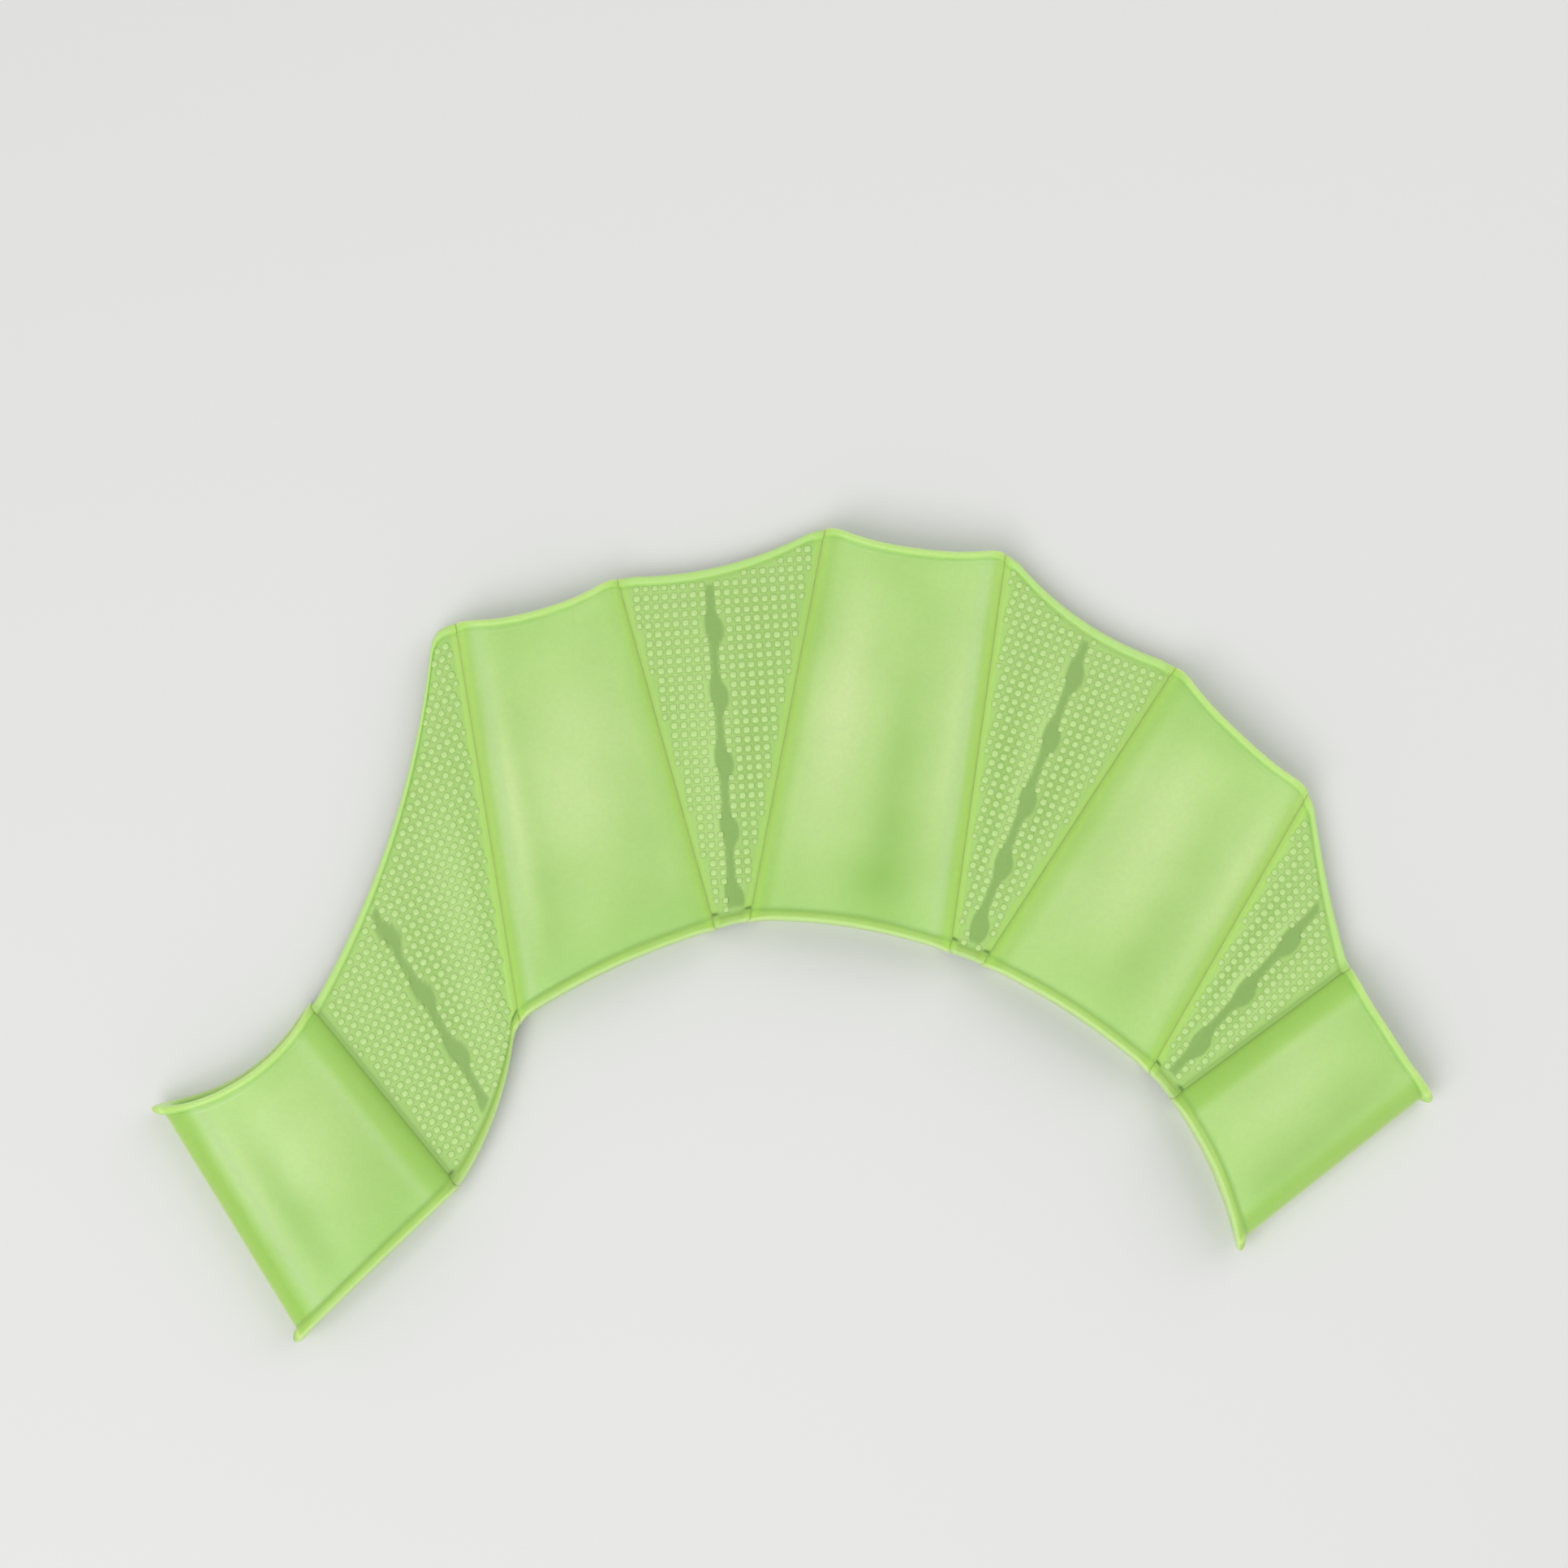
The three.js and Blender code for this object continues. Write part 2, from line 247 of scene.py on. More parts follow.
def raw_edge_points(edge, distance):
    span = np.maximum(np.searchsorted(edge["begins"], distance, side="right") - 1, 0)
    length = edge["length"][span]
    share = (distance - edge["begins"][span]) / length
    along = edge["end"][span] - edge["start"][span]
    outward = np.stack([-along[..., 1], along[..., 0]], axis=-1) / length[..., None]
    bow = 4 * share * (1 - share) * edge["bow"][span]
    return edge["start"][span] + share[..., None] * along + bow[..., None] * outward


def edge_points(edge, panel_index, share):
    begins, length = edge["stretches"][panel_index]
    distance = begins + share * length
    stretch = np.minimum(CORNER_SOFTENING, np.minimum(distance, edge["reach"] - distance))
    offsets = np.linspace(-1, 1, SOFTENING_STEPS + 1)
    points = [raw_edge_points(edge, distance + offset * stretch) for offset in offsets]
    return sum(points) / len(points)


base_edge = make_edge("base", "base_arch", 1)
tip_edge = make_edge("tip", "tip_dip", -1)
for title, long_edge in (("palm edge", base_edge), ("fingertip edge", tip_edge)):
    print(title, round(long_edge["reach"] / MM), "mm")

# %% [markdown]
# Every point of a piece lies between the two edges. Two shares give its place, one across the piece
# and one from palm to fingertip, and an inset in metres keeps the rims equally wide everywhere.
# Soft steps and humps then shape and paint the pieces, and a few shapes fade out past the palm end.

# %% Points between the two edges
PALM_END = 0.3


def plan_points(panel_index, across, share, inset, lip=0.0):
    base = edge_points(base_edge, panel_index, across)
    tip = edge_points(tip_edge, panel_index, across)
    length = np.linalg.norm(tip - base, axis=-1)
    along = share + (share * lip + inset) / length
    return base + (tip - base) * along[..., None]


def smooth_step(value, low, high):
    share = np.clip((value - low) / (high - low), 0, 1)
    return share * share * (3 - 2 * share)


def hump(value, centre, width):
    return np.exp(-((value - centre) / width) ** 2)


def palm_end(share):
    return 1 - smooth_step(share, 0, PALM_END)


# %% [markdown]
# ## The rims
# Every open edge ends in a bead: a round lip, thicker than the wall, that falls softly to a shallow
# groove. Along a sleeve's fingertip edge a narrow flat band follows. A curve with a bevel could
# make a bead, but not one that fades out where a sleeve's side meets a web and swells into a small
# knob at the glove's free corners. So its section is worked out here, as the height of the surface
# above the wall's middle at a distance from the edge.

# %% Section of a rimmed wall
RIMS = dict(
    base=dict(bead=1.8 * MM, fall=0.9 * MM, band=0.3 * MM, step=0.0 * MM, groove=0.02 * MM),
    tip=dict(bead=1.4 * MM, fall=0.5 * MM, band=0.6 * MM, step=0.05 * MM, groove=0.03 * MM),
    web_tip=dict(bead=1.7 * MM, fall=0.5 * MM, band=0.3 * MM, step=0.0 * MM, groove=0.03 * MM),
)
RIM_ROUND = 0.6 * MM
RIM_MARGIN = 0.4 * MM
STEP_SOFTNESS = 0.15 * MM
GROOVE_SHIFT = 0.1 * MM
GROOVE_WIDTH = 0.2 * MM
KNOB_WIDTH = 1.9 * MM
KNOB_FADE = 0.7 * MM
KNOB_SQUARENESS = 2.5
BEAD_STEPS = 15
RIM_STEPS = 8
SLEEVE_ROWS = 56
WEB_ROWS = 130


def rim_height(distance, rim, thickness):
    turn = 1 - np.minimum(distance / RIM_ROUND, 1)
    lip = RIM_RADIUS * np.sqrt(1 - turn ** 2)
    step_end = rim["bead"] + rim["band"]
    fade = smooth_step(distance, step_end - STEP_SOFTNESS, step_end + STEP_SOFTNESS)
    groove = rim["groove"] * hump(distance, rim["bead"] + GROOVE_SHIFT, GROOVE_WIDTH)
    wall = thickness / 2 + rim["step"] * (1 - fade) - groove
    fall = smooth_step(distance, rim["bead"] - rim["fall"], rim["bead"])
    return lip + (wall - lip) * fall


def rim_distances(rim):
    across_bead = rim["bead"] / 2 * (1 - np.cos(np.linspace(0, np.pi, BEAD_STEPS)))
    behind = np.linspace(rim["bead"], rim["bead"] + rim["band"] + RIM_MARGIN, RIM_STEPS)
    return np.concatenate([across_bead, behind[1:]])


def knob_outline(distance, rim):
    place = np.clip(np.abs(2 * distance / rim["bead"] - 1), 0, 1)
    return (1 - place ** KNOB_SQUARENESS) ** (1 / KNOB_SQUARENESS)


def knob_flare(distance, rim):
    fade = 1 - smooth_step(distance, rim["bead"], rim["bead"] + KNOB_FADE)
    flare = KNOB_WIDTH / rim["bead"] - 1
    return flare * (np.minimum(distance, rim["bead"]) - rim["bead"] / 2) * fade


# %% [markdown]
# A wall's profile runs along its outer face from palm to fingertip and back along its inner one. It
# lists, for each point, its share of the length, its inset from the nearer edge, its height, and
# how far and how wide a knob stands out there.


# %% Profiles of the walls
def wall_profile(thickness, base_rim, tip_rim, rows):
    base, tip = rim_distances(base_rim), rim_distances(tip_rim)
    middle = np.linspace(0, 1, rows + 1)[1:-1]
    even = 0 * middle
    outer_face = dict(
        share=[0 * base, middle, 0 * tip + 1],
        inset=[base, base[-1] * (1 - middle) - tip[-1] * middle, -tip[::-1]],
        offset=[rim_height(base, base_rim, thickness), even + thickness / 2,
                rim_height(tip, tip_rim, thickness)[::-1]],
        wider=[knob_flare(base, base_rim), even, -knob_flare(tip, tip_rim)[::-1]],
        knob=[knob_outline(base, base_rim), even, knob_outline(tip, tip_rim)[::-1]])
    profile = {}
    for name, stretches in outer_face.items():
        there = np.concatenate(stretches)
        back = there[-2:0:-1]
        profile[name] = np.concatenate([there, -back if name == "offset" else back])
    return profile


sleeve_wall = wall_profile(SLEEVE_WALL, RIMS["base"], RIMS["tip"], SLEEVE_ROWS)
web_wall = wall_profile(WEB_THICKNESS, RIMS["base"], RIMS["web_tip"], WEB_ROWS)
print("rows round a sleeve's wall:", len(sleeve_wall["share"]))

# %% [markdown]
# ## From columns of points to a mesh
# A piece is a grid: its columns stand side by side across the glove, and each column is a closed
# loop along the outer face and back along the inner one. A sleeve's columns close into a ring, and
# a web's first and last columns are capped.


# %% Turn a grid of points into a closed mesh
def grid_quads(column_count, row_count, is_ring):
    last = column_count if is_ring else column_count - 1
    here = np.arange(last)[:, None] * row_count
    after = (np.arange(1, last + 1) % column_count)[:, None] * row_count
    row = np.arange(row_count)[None, :]
    above = (row + 1) % row_count
    quads = np.stack([here + row, here + above, after + above, after + row], axis=-1)
    return quads.reshape(-1, 4).tolist()


def cap_faces(row_count, start, is_first):
    faces = []
    for row in range(row_count // 2):
        corners = [row, (row_count - row) % row_count, row_count - row - 1, row + 1]
        face = [start + corner for corner in dict.fromkeys(corners)]
        faces.append(face if is_first else face[::-1])
    return faces


def grid_mesh(name, points, is_ring, paints):
    column_count, row_count = points.shape[:2]
    faces = grid_quads(column_count, row_count, is_ring)
    if not is_ring:
        faces += cap_faces(row_count, 0, True)
        faces += cap_faces(row_count, (column_count - 1) * row_count, False)
    mesh = bpy.data.meshes.new(name)
    mesh.from_pydata(points.reshape(-1, 3), [], faces)
    mesh.shade_smooth()
    for paint, values in paints.items():
        attribute = mesh.attributes.new(paint, "FLOAT", "POINT")
        attribute.data.foreach_set("value", np.ascontiguousarray(values, dtype=np.float32).ravel())
    mesh.validate()
    return add_object(name, mesh)


# %% [markdown]
# ## The sleeves
# A sleeve is a flattened tube. Its front swells a little over the empty finger space, and the soft
# wall has sagged into a few broad ridges and hollows along the finger. A cloth simulation would sag
# it too, but not into these ones, so they are rows of a table. A row holds the centre and width of
# a ridge as shares of the sleeve's width, where along the sleeve it is clearest as a share of the
# length, its height in millimetres, and how much milkier or deeper its colour is there: partly the
# silicone's milk, partly painted light on a ridge and painted shade in a hollow. A painted
# highlight, a lighter belt, also crosses every sleeve a little above its middle.

# %% Ridges and hollows of the fronts
SWELLS = {
    "thumb_sleeve": [
        (0.20, 0.05, 0.5, 0.10, 0.30),
        (0.31, 0.08, 0.4, -0.08, -0.40),
        (0.52, 0.20, 0.6, 0.20, 0.50),
    ],
    "index_sleeve": [
        (0.17, 0.05, 0.5, 0.12, 0.45),
        (0.27, 0.06, 0.5, -0.10, -0.15),
        (0.55, 0.20, 0.6, 0.20, 0.45),
    ],
    "middle_sleeve": [
        (0.27, 0.12, 0.7, 0.30, 0.70),
        (0.59, 0.11, 0.3, -0.30, -0.55),
        (0.84, 0.07, 0.5, 0.20, 0.35),
    ],
    "ring_sleeve": [
        (0.38, 0.18, 0.7, 0.25, 0.60),
        (0.66, 0.12, 0.4, -0.20, -0.25),
        (0.86, 0.06, 0.5, 0.15, 0.30),
    ],
    "little_sleeve": [
        (0.40, 0.18, 0.5, 0.20, 0.35),
        (0.80, 0.12, 0.4, -0.12, -0.40),
    ],
}
SWELL_FADE = 0.12
SWELL_LENGTH = 0.45
SWELL_END_TONE = 0.5
HIGHLIGHT_BELT_CENTRE = 0.62
HIGHLIGHT_BELT_WIDTH = 0.28
HIGHLIGHT_BELT_TONE = 0.25
FRONT_TONE = -0.06


def swell(name, across, share):
    height = np.zeros(across.shape)
    tone = np.zeros(across.shape)
    ends = smooth_step(share, 0.0, SWELL_FADE) * (1 - smooth_step(share, 1 - SWELL_FADE, 1.0))
    for centre, width, clearest, rise, milk_and_shade in SWELLS[name]:
        shape = hump(across, centre, width) * hump(share, clearest, SWELL_LENGTH)
        height += rise * MM * shape * ends
        # partly the silicone's milk, partly painted light on ridges and painted shade in hollows
        tone += milk_and_shade * shape * (SWELL_END_TONE + (1 - SWELL_END_TONE) * ends)
    # painted highlight: a lighter belt across the sleeve a little above its middle
    return height, tone + HIGHLIGHT_BELT_TONE * hump(share, HIGHLIGHT_BELT_CENTRE, HIGHLIGHT_BELT_WIDTH) + FRONT_TONE


# %% [markdown]
# Across the finger a sleeve is a flattened ring: a round side, a softly crowned top, the other side
# and a flat bottom. Each point also gets the direction in which the wall faces there, because the
# wall's thickness, its rims and its knobs are all measured along it.

# %% Cross-section of a sleeve
KNOB_PULL = 0.8
SIDE_STEPS = 16
TOP_STEPS = 48
BOTTOM_STEPS = 24


def sleeve_section(half_width):
    straight = half_width - SIDE_RADIUS
    turn = np.linspace(-np.pi / 2, np.pi / 2, SIDE_STEPS + 1)
    top = straight * np.linspace(1, -1, TOP_STEPS + 1)[1:-1]
    phase = np.pi * top / straight
    slope = -SLEEVE_CROWN * np.pi / straight * np.sin(phase) / 2
    bottom = straight * np.linspace(-1, 1, BOTTOM_STEPS + 1)[1:-1]
    face_x = np.concatenate([np.cos(turn), -slope / np.hypot(slope, 1), -np.cos(turn), 0 * bottom])
    face_z = np.concatenate([np.sin(turn), 1 / np.hypot(slope, 1), -np.sin(turn), 0 * bottom - 1])
    x = np.concatenate([straight + SIDE_RADIUS * np.cos(turn), top,
                        -straight - SIDE_RADIUS * np.cos(turn), bottom])
    shoulder = WEB_LEVEL + SIDE_RADIUS
    z = np.concatenate([WEB_LEVEL + SIDE_RADIUS * np.sin(turn),
                        shoulder + SLEEVE_CROWN * (1 + np.cos(phase)) / 2,
                        WEB_LEVEL - SIDE_RADIUS * np.sin(turn), 0 * bottom + FLOOR_LEVEL])
    return x, z, face_x, face_z


def bead_offset(offset, knob, face_x, is_first, is_last):
    sideways = face_x ** 2
    is_free = ((face_x < 0) & is_first) | ((face_x > 0) & is_last)
    pulled = offset + KNOB_PULL * KNOB_REACH * knob * sideways ** 2
    flush = np.minimum(offset, RIM_RADIUS + (SLEEVE_WALL / 2 - RIM_RADIUS) * sideways)
    raised = np.where(is_free, pulled, flush)
    return np.where(offset > 0, raised, offset), is_free * sideways ** 2


# %% [markdown]
# ## Paint for the finish
# The finish has to know where on a piece it is. A painted picture would need a UV map, so every
# point stores a few numbers instead, as attributes that the finish reads by name. The first ones
# say whether it lies on the palm bead, the fingertip bead, the very edge, which gets a painted
# highlight, or a groove, which gets painted shade.

# %% Paint of the rims
BEAD_FADE = (0.8, 1.05)
EDGE_HIGHLIGHT_FADE = (0.25 * MM, 0.6 * MM)
TIP_HIGHLIGHT_SHIFT = 0.2 * MM
BASE_MARK_WIDTH = 0.22 * MM
TIP_MARK_SHIFT = 0.05 * MM
TIP_MARK_WIDTH = 0.2 * MM
STEP_MARK_WIDTH = 0.25 * MM
TIP_MARK_STRENGTH = 0.35


def on_bead(distance, width):
    return 1 - smooth_step(distance, BEAD_FADE[0] * width, BEAD_FADE[1] * width)


def rim_paints(share, inset, length, tip):
    base = RIMS["base"]
    from_base = share * length + inset
    from_tip = (1 - share) * length - inset
    # painted highlight: the very edge of each bead is painted bright
    nearer = np.minimum(from_base, from_tip + TIP_HIGHLIGHT_SHIFT)
    # painted shade: a dark line in the groove behind the palm bead, fainter at the fingertip's
    # groove and step
    groove = hump(from_base, base["bead"] + GROOVE_SHIFT, BASE_MARK_WIDTH)
    groove += TIP_MARK_STRENGTH * hump(from_tip, tip["bead"] + TIP_MARK_SHIFT, TIP_MARK_WIDTH)
    if tip["step"]:
        groove += TIP_MARK_STRENGTH * hump(from_tip, tip["bead"] + tip["band"], STEP_MARK_WIDTH)
    return dict(hem=on_bead(from_base, base["bead"]), bead=on_bead(from_tip, tip["bead"]),
                edge=1 - smooth_step(nearer, *EDGE_HIGHLIGHT_FADE), groove=groove)


# %% [markdown]
# Looking down on a sleeve's side, the eye looks through the whole height of the wall, so the lime
# deepens there into a band, with a painted highlight, a paler strip, beside it. Where a web joins,
# light also gathers in a bright line, painted as well. A see-through wall would show all this by
# itself, but slowly and with much noise. So it is painted by the distance from the side, and stays
# on the surface from wherever it is seen. A hair-fine painted glow on the side itself lightens the
# shade of its steep foot.

# %% Paint of the sides
BAND_INSIDE = 0.7 * MM
BAND_OUTSIDE = 1.1 * MM
HIGHLIGHT_SHIFT = 1.6 * MM
HIGHLIGHT_WIDTH = 0.8 * MM
LIGHT_LINE_PLACE = 0.75 * MM
LIGHT_LINE_WIDTH = 0.85 * MM
PAINTED_GLOW_WIDTH = 0.3 * MM


def side_paints(panel, across, width):
    paints = {name: np.zeros(across.shape) for name in ("deep", "light_line", "highlight_strip", "painted_glow")}
    from_sides = (across * width, (1 - across) * width)
    columns = [panel[name] for name in ("bands", "deeps", "light_lines", "highlight_strips", "painted_glows")]
    for from_side, band, deep, light_line, highlight_strip, painted_glow in zip(from_sides, *columns):
        inside = band * MM - BAND_INSIDE
        outside = band * MM + BAND_OUTSIDE
        paints["deep"] += deep * (1 - smooth_step(from_side, inside, outside))
        # painted light: a bright line near the side, where light gathers at a joint
        paints["light_line"] += light_line * hump(from_side, LIGHT_LINE_PLACE, LIGHT_LINE_WIDTH)
        # painted highlight: a pale strip beside the deep band
        paints["highlight_strip"] += highlight_strip * hump(from_side, band * MM + HIGHLIGHT_SHIFT, HIGHLIGHT_WIDTH)
        # painted glow: a hair-fine bright line on the side itself, lightening the shade of its steep
        # foot
        paints["painted_glow"] += painted_glow * hump(from_side, 0, PAINTED_GLOW_WIDTH)
    paints["deep"] = np.clip(paints["deep"], 0, 1)
    return paints


# %% [markdown]
# The sleeve is now swept row by row from palm to fingertip: its section, thickened by the wall's
# profile, is laid between the two edges. Its underside is tucked in a little at the palm, so that
# the top bead shows alone from above.

# %% Build the sleeves
TUCK = 0.5 * MM
FRONT_FADE = (0.3, 1.0)


def widths_across(panel, share):
    base, tip = (panel[side][-1] - panel[side][0] for side in ("base", "tip"))
    across = base[None, :] + share[:, None] * (tip - base)[None, :]
    direction = lean(panel["lean"])
    return np.abs(across[:, 0] * direction[1] - across[:, 1] * direction[0])


def build_sleeve(panel_index):
    panel = panels[panel_index]
    profile = sleeve_wall
    widths = widths_across(panel, profile["share"])
    ends = (panel_index == 0, panel_index == len(panels) - 1)
    rows = []
    sections = zip(profile["share"], profile["offset"], profile["knob"], widths)
    for share, offset, knob, width in sections:
        x, z, face_x, face_z = sleeve_section((width - SLEEVE_WALL) / 2)
        reach, free = bead_offset(offset, knob, face_x, *ends)
        across = 0.5 + (x + face_x * reach) / width
        front = smooth_step(face_z, *FRONT_FADE)
        height, tone = swell(panel["name"], across, np.full(across.shape, share))
        rows.append((across, z + face_z * reach + front * height, front * tone,
                     panel["lip"] * (1 - face_z) / 2, np.clip(-face_z, 0, 1), free))
    across, z, tone, lip, lower, free = (np.stack(values, axis=1) for values in zip(*rows))
    share = np.broadcast_to(profile["share"], across.shape)
    inset = np.broadcast_to(profile["inset"], across.shape)
    tuck = TUCK * lower * palm_end(share) + free * profile["wider"]
    plan = plan_points(panel_index, across, share, inset + tuck, lip * SLEEVE_HEIGHT)
    points = np.dstack([plan, np.maximum(z, 0)])
    length = panel["length"] * SLEEVE_LENGTH
    paints = dict(rim_paints(share, inset, length, RIMS["tip"]), tone=tone,
                  **side_paints(panel, across, widths[None, :]))
    return points, paints


# %% [markdown]
# ## The webs
# A web is one thin membrane at half the sleeves' height. Down its middle winds a smooth lane, free
# of dots and sunk a little. Every centimetre or so it swells into a lozenge, with a small bulge to
# the left and, a millimetre nearer the palm, a wide one to the right. A curve could carry the lane,
# but the dots and the paint need the distance from its border, so that is what is worked out.

# %% Lane of a web
LANE_HALF_WIDTH = 0.60 * MM
LOZENGE_RIGHT = 1.1 * MM
LOZENGE_LEFT = 0.6 * MM
LOZENGE_SPACING = 10.1 * MM
LOZENGE_LENGTH = 2.1 * MM
LOZENGE_SHIFT = 0.5 * MM
LOZENGE_POWER = 3


def lozenge(along, centre, reach):
    phase = (along - centre + LOZENGE_SPACING / 2) % LOZENGE_SPACING - LOZENGE_SPACING / 2
    return reach * np.exp(-np.abs(phase / LOZENGE_LENGTH) ** LOZENGE_POWER)


def lane_line(panel_index):
    panel = panels[panel_index]
    ends = [edge_points(edge, panel_index, np.array(panel[place]))
            for edge, place in ((base_edge, "lane_base"), (tip_edge, "lane_tip"))]
    reach = np.linalg.norm(ends[1] - ends[0])
    return ends[0], (ends[1] - ends[0]) / reach, reach


def lane_distance(panel_index, plan):
    start, direction, reach = lane_line(panel_index)
    away = plan - start
    from_tip = reach - away @ direction
    sideways = away[..., 0] * direction[1] - away[..., 1] * direction[0]
    centre = panels[panel_index]["first_lozenge"] * MM
    right = LANE_HALF_WIDTH + lozenge(from_tip, centre + LOZENGE_SHIFT, LOZENGE_RIGHT)
    left = LANE_HALF_WIDTH + lozenge(from_tip, centre - LOZENGE_SHIFT, LOZENGE_LEFT)
    return np.maximum(sideways - right, -sideways - left)


# %% [markdown]
# A soft web is never quite flat, so shallow ripples run down it. A row holds their number, their
# phase and their height in millimetres. Into the sleeves beside it the web runs in a small hollow
# fillet. The columns of its grid stand closer there, to keep the fillet smooth, and reach just
# inside the sleeves' round sides.

# %% Ripples
RIPPLES = {
    "web_thumb_index": (1.5, 0.2, 0.20),
    "web_index_middle": (1.0, 0.0, 0.12),
    "web_middle_ring": (2.0, 0.3, 0.20),
    "web_ring_little": (2.5, 0.1, 0.20),
}


def ripple(name, across, share):
    waves, phase, height = RIPPLES[name]
    wave = np.sin(2 * np.pi * (waves * across + phase))
    return wave * np.sin(np.pi * np.clip(share, 0, 1)) * np.sin(np.pi * across), height * MM


# %% Fillets, and the grid of a web
JOINT_FILLET = 1.5 * MM
FILLET_RISE = 0.6
WEB_STEPS = 120
CROWDING = 0.85


def fillet(distance):
    inward = np.clip(JOINT_FILLET - distance, 0, JOINT_FILLET)
    return FILLET_RISE * inward ** 2 / JOINT_FILLET


def side_recess(offset):
    outer = SIDE_RADIUS + SLEEVE_WALL / 2
    return outer - np.sqrt(outer ** 2 - offset ** 2)


def web_grid(panel_index):
    profile = web_wall
    even = np.linspace(1, 0, WEB_STEPS + 1)[:, None]
    station = even - CROWDING * np.sin(2 * np.pi * even) / (2 * np.pi)
    share = np.broadcast_to(profile["share"], (WEB_STEPS + 1, len(profile["share"])))
    inset = np.broadcast_to(profile["inset"], share.shape)
    corners = [plan_points(panel_index, np.full(share.shape[1], side), share[0], inset[0])
               for side in (0.0, 1.0)]
    width = np.linalg.norm(corners[1] - corners[0], axis=-1)
    half = np.abs(profile["offset"])
    rise = np.where(half > 0, fillet(np.minimum(station, 1 - station) * width), 0)
    parting = (WEB_PARTING - side_recess(np.maximum(half, WEB_THICKNESS / 2 + rise))) / width
    across = parting + station * (1 - 2 * parting)
    return across, share, inset, half + rise


# %% [markdown]
# The joints are painted as well, with painted shade or painted light by the table. The dots keep
# clear of the joints, the beads and the lane, so the room that is left for them at each point, in
# metres, is stored on the membrane. Behind the palm bead a small shallow pit, with painted shade
# in it, closes each corner of the field of dots.

# %% Paint of the joints
JOINT_PLACE = 0.2 * MM
CREASE_SHADE_WIDTH = 0.25 * MM
JOINT_LIGHT_WIDTH = 0.45 * MM


def side_distance(panel, plan, side):
    start, end = panel["base"][-side], panel["tip"][-side]
    along = (end - start) / np.linalg.norm(end - start)
    away = plan - start
    return np.abs(away[..., 0] * along[1] - away[..., 1] * along[0])


def joint_paints(crease_shades, from_sides):
    pairs = list(zip(crease_shades, from_sides))
    # painted shade: a thin dark line along the joint
    crease_shade = sum(dark * hump(from_side, JOINT_PLACE, CREASE_SHADE_WIDTH) for dark, from_side in pairs)
    # painted light: a bright line along the joint, where no painted shade is
    light_line = sum((1 - dark) * hump(from_side, JOINT_PLACE, JOINT_LIGHT_WIDTH)
               for dark, from_side in pairs)
    return dict(crease_shade=crease_shade, light_line=light_line)


# %% Build the webs
WEB_SETBACK = 0.2 * MM
FIELD_MARGIN = 0.65 * MM
FIELD_END = 0.2 * MM
FIELD_FADE = 1 * MM
LANE_DEPTH = 0.10 * MM
LANE_SOFTNESS = 0.15 * MM
LANE_FADE = (-0.3 * MM, 0.25 * MM)
PIT_DEPTH = 0.08 * MM
PIT_FROM_SIDE = 0.2 * MM
PIT_WIDTH = 0.55 * MM
PIT_FROM_BEAD = 0.1 * MM
PIT_LENGTH = 0.25 * MM


def build_web(panel_index):
    panel = panels[panel_index]
    across, share, inset, half = web_grid(panel_index)
    plan = plan_points(panel_index, across, share, inset + WEB_SETBACK * palm_end(share))
    length = np.linalg.norm(edge_points(tip_edge, panel_index, across)
                            - edge_points(base_edge, panel_index, across), axis=-1)
    lane = lane_distance(panel_index, plan)
    from_sides = [side_distance(panel, plan, side) for side in (0, 1)]
    sides = np.minimum(*from_sides)
    from_base = share * length + inset - RIMS["base"]["bead"] - FIELD_END
    from_tip = (1 - share) * length - inset - RIMS["web_tip"]["bead"] - FIELD_END
    field = np.minimum(smooth_step(from_base, 0, FIELD_FADE), smooth_step(from_tip, 0, FIELD_FADE))
    sunk = LANE_DEPTH * (1 - smooth_step(lane, -LANE_SOFTNESS, LANE_SOFTNESS)) * field
    # a shallow pit in each corner of the field; the same mask paints shade into it
    pit = hump(sides, PIT_FROM_SIDE, PIT_WIDTH) * hump(from_base, PIT_FROM_BEAD, PIT_LENGTH)
    wave, wave_height = ripple(panel["name"], across, share)
    surface = np.sign(web_wall["offset"]) * (half - sunk - PIT_DEPTH * pit)
    z = WEB_LEVEL + surface + wave * wave_height
    paints = rim_paints(share, inset, length, RIMS["web_tip"])
    # the ripples are painted as well: lighter on their crests, deeper in their troughs, as painted
    # light and shade
    paints.update(joint_paints(panel["crease_shades"], from_sides), tone=wave, pit=pit,
                  lane=(1 - smooth_step(lane, *LANE_FADE)) * field,
                  room=np.minimum.reduce([sides - FIELD_MARGIN, from_base, from_tip, lane]))
    return np.dstack([plan, z]), paints


# %% [markdown]
# ## Putting the pieces in the frame
# The chain of pieces starts at the thumb's corner, and the solids lie centred on the origin. The
# shift between the two is read from the frame: the middle of the CAD box against the middle of the
# same sleeves here.


# %% Make the nine pieces
def build_pieces():
    shapes = {}
    for panel_index, panel in enumerate(panels):
        build = build_sleeve if panel["kind"] == "sleeve" else build_web
        shapes[panel["name"]] = build(panel_index)
    plans = np.concatenate([points.reshape(-1, 3) for points, _ in shapes.values()])
    cad_middle = (cad_box[0] + cad_box[1]) / 2
    middle = (plans.min(axis=0) + plans.max(axis=0)) / 2
    shift = np.array([cad_middle.x - middle[0], cad_middle.y - middle[1], 0])
    pieces = {}
    for panel in panels:
        name = panel["name"]
        points, paints = shapes[name]
        is_ring = panel["kind"] == "sleeve"
        pieces[name] = grid_mesh(name + "_moulded", points + shift, is_ring, paints)
    return pieces, shift


pieces, frame_shift = build_pieces()
for piece in pieces.values():
    print(piece.name, len(piece.data.polygons), "faces")

